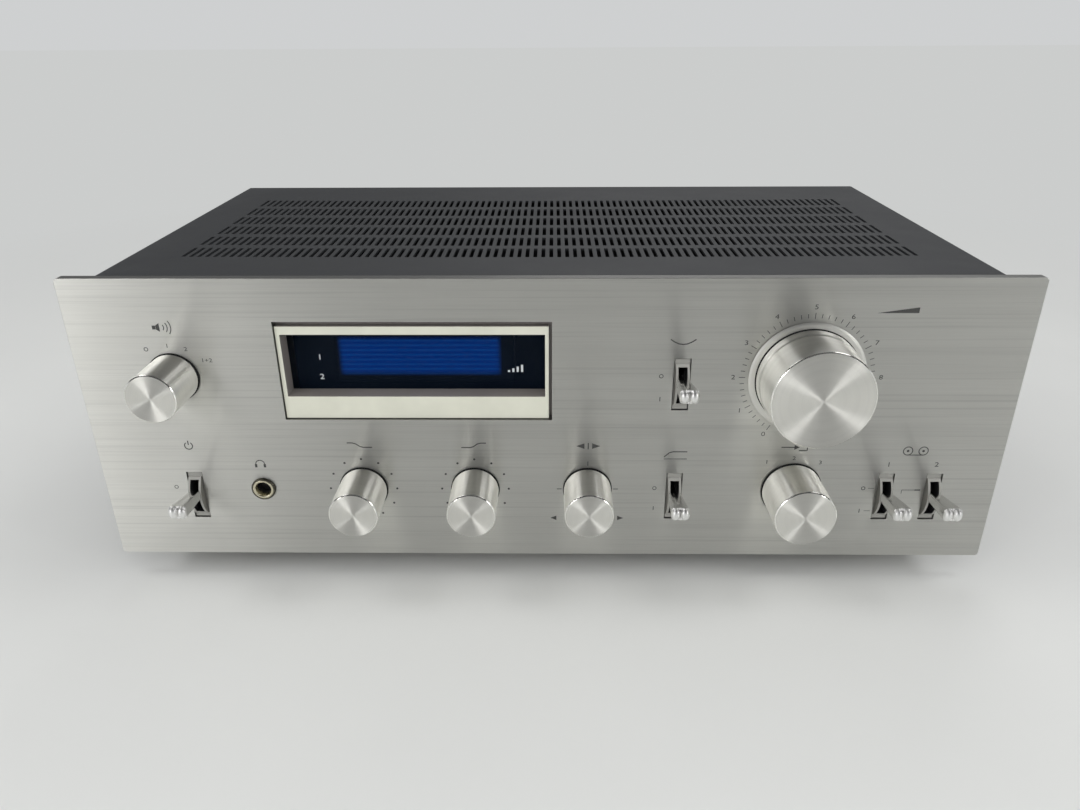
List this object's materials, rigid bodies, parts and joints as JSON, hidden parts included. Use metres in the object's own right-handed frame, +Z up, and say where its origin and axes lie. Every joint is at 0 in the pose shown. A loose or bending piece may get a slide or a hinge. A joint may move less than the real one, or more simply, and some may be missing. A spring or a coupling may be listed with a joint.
{
  "type": "integrated amplifier",
  "caption": "Low, wide stereo amplifier with a thick brushed front panel, turning knobs, flat lever switches, a recessed blue display, a headphone socket and a slotted dark cover on feet.",
  "frame": {"origin": "middle of the bounding box's base, on the surface that the feet stand on", "axes": "+X to the right as seen from the front, +Y to the back, +Z up; the front panel faces -Y"},
  "size_m": [0.38, 0.2178, 0.138],
  "materials": {
    "brushed_aluminium": "brushed, on the panel from side to side; spun on the knobs' faces",
    "dark_paint": "fine satin paint, dark grey",
    "zinc_plate": "zinc plated sheet",
    "bright_steel": "bright nickel plated steel",
    "chrome": "polished chrome plate",
    "jack_metal": "nickel plated brass",
    "cream_plastic": "smooth cream plastic",
    "grey_plate": "smooth warm grey",
    "black_plastic": "black moulded plastic",
    "foot_rubber": "matt black rubber",
    "smoked_glass": "dark smoked window",
    "display_blue": "blue vacuum display glass",
    "circuit_board": "brown paper laminate",
    "black_aluminium": "black anodised",
    "capacitor_sleeve": "shrunk plastic sleeve over an aluminium can"
  },
  "bodies": {
    "chassis": {"front_panel": "brushed_aluminium", "top_cover": "dark_paint", "chassis_pan": "zinc_plate", "rear_panel": "dark_paint", "sub_panel": "zinc_plate", "foot_front_left": "foot_rubber", "foot_front_right": "foot_rubber", "foot_rear_left": "foot_rubber", "foot_rear_right": "foot_rubber", "display_bezel": "cream_plastic", "display_window": "smoked_glass", "display_tube": "display_blue", "display_board": "circuit_board", "power_switch_plate": "grey_plate", "power_switch_body": "zinc_plate", "loudness_switch_plate": "grey_plate", "loudness_switch_body": "zinc_plate", "subsonic_switch_plate": "grey_plate", "subsonic_switch_body": "zinc_plate", "tape_1_switch_plate": "grey_plate", "tape_1_switch_body": "zinc_plate", "tape_2_switch_plate": "grey_plate", "tape_2_switch_body": "zinc_plate", "speaker_selector": "zinc_plate", "bass_pot": "zinc_plate", "treble_pot": "zinc_plate", "balance_pot": "zinc_plate", "volume_pot": "zinc_plate", "function_selector": "zinc_plate", "volume_ring": "brushed_aluminium", "phones_jack": "jack_metal", "power_transformer": "dark_paint", "heat_sink": "black_aluminium", "output_module_left": "black_plastic", "output_module_right": "black_plastic", "filter_capacitor_left": "capacitor_sleeve", "filter_capacitor_right": "capacitor_sleeve", "main_board": "circuit_board", "tone_board": "circuit_board", "input_jack_block": "bright_steel", "speaker_terminals": "black_plastic", "ground_terminal": "bright_steel", "cord_gland": "black_plastic"},
    "speakers_control": {"speakers_knob": "brushed_aluminium", "speakers_shaft": "bright_steel"},
    "bass_control": {"bass_knob": "brushed_aluminium", "bass_shaft": "bright_steel"},
    "treble_control": {"treble_knob": "brushed_aluminium", "treble_shaft": "bright_steel"},
    "balance_control": {"balance_knob": "brushed_aluminium", "balance_shaft": "bright_steel"},
    "function_control": {"function_knob": "brushed_aluminium", "function_shaft": "bright_steel"},
    "volume_control": {"volume_knob": "brushed_aluminium", "volume_shaft": "bright_steel"},
    "power_switch": {"power_lever": "chrome"},
    "loudness_switch": {"loudness_lever": "chrome"},
    "subsonic_switch": {"subsonic_lever": "chrome"},
    "tape_1_switch": {"tape_1_lever": "chrome"},
    "tape_2_switch": {"tape_2_lever": "chrome"}
  },
  "joints": [
    {"name": "speakers_turn", "type": "hinge", "parent": "chassis", "child": "speakers_control", "pos_m": [-0.1508, -0.0856, 0.097], "axis": [0, 1, 0], "range_deg": [-30, 60]},
    {"name": "bass_turn", "type": "hinge", "parent": "chassis", "child": "bass_control", "pos_m": [-0.0786, -0.0856, 0.0451], "axis": [0, 1, 0], "range_deg": [-150, 150]},
    {"name": "treble_turn", "type": "hinge", "parent": "chassis", "child": "treble_control", "pos_m": [-0.0307, -0.0856, 0.0451], "axis": [0, 1, 0], "range_deg": [-150, 150]},
    {"name": "balance_turn", "type": "hinge", "parent": "chassis", "child": "balance_control", "pos_m": [0.0172, -0.0856, 0.0451], "axis": [0, 1, 0], "range_deg": [-150, 150]},
    {"name": "function_turn", "type": "hinge", "parent": "chassis", "child": "function_control", "pos_m": [0.1039, -0.0856, 0.0451], "axis": [0, 1, 0], "range_deg": [-30, 30]},
    {"name": "volume_turn", "type": "hinge", "parent": "chassis", "child": "volume_control", "pos_m": [0.1039, -0.0856, 0.097], "axis": [0, 1, 0], "range_deg": [0, 300]},
    {"name": "power_flip", "type": "hinge", "parent": "chassis", "child": "power_switch", "pos_m": [-0.1508, -0.0758, 0.0416], "axis": [1, 0, 0], "range_deg": [0, 15]},
    {"name": "loudness_flip", "type": "hinge", "parent": "chassis", "child": "loudness_switch", "pos_m": [0.0541, -0.0758, 0.0937], "axis": [1, 0, 0], "range_deg": [0, 15]},
    {"name": "subsonic_flip", "type": "hinge", "parent": "chassis", "child": "subsonic_switch", "pos_m": [0.0541, -0.0758, 0.0416], "axis": [1, 0, 0], "range_deg": [0, 15]},
    {"name": "tape_1_flip", "type": "hinge", "parent": "chassis", "child": "tape_1_switch", "pos_m": [0.1434, -0.0758, 0.0416], "axis": [1, 0, 0], "range_deg": [0, 15]},
    {"name": "tape_2_flip", "type": "hinge", "parent": "chassis", "child": "tape_2_switch", "pos_m": [0.1635, -0.0758, 0.0416], "axis": [1, 0, 0], "range_deg": [0, 15]}
  ]
}
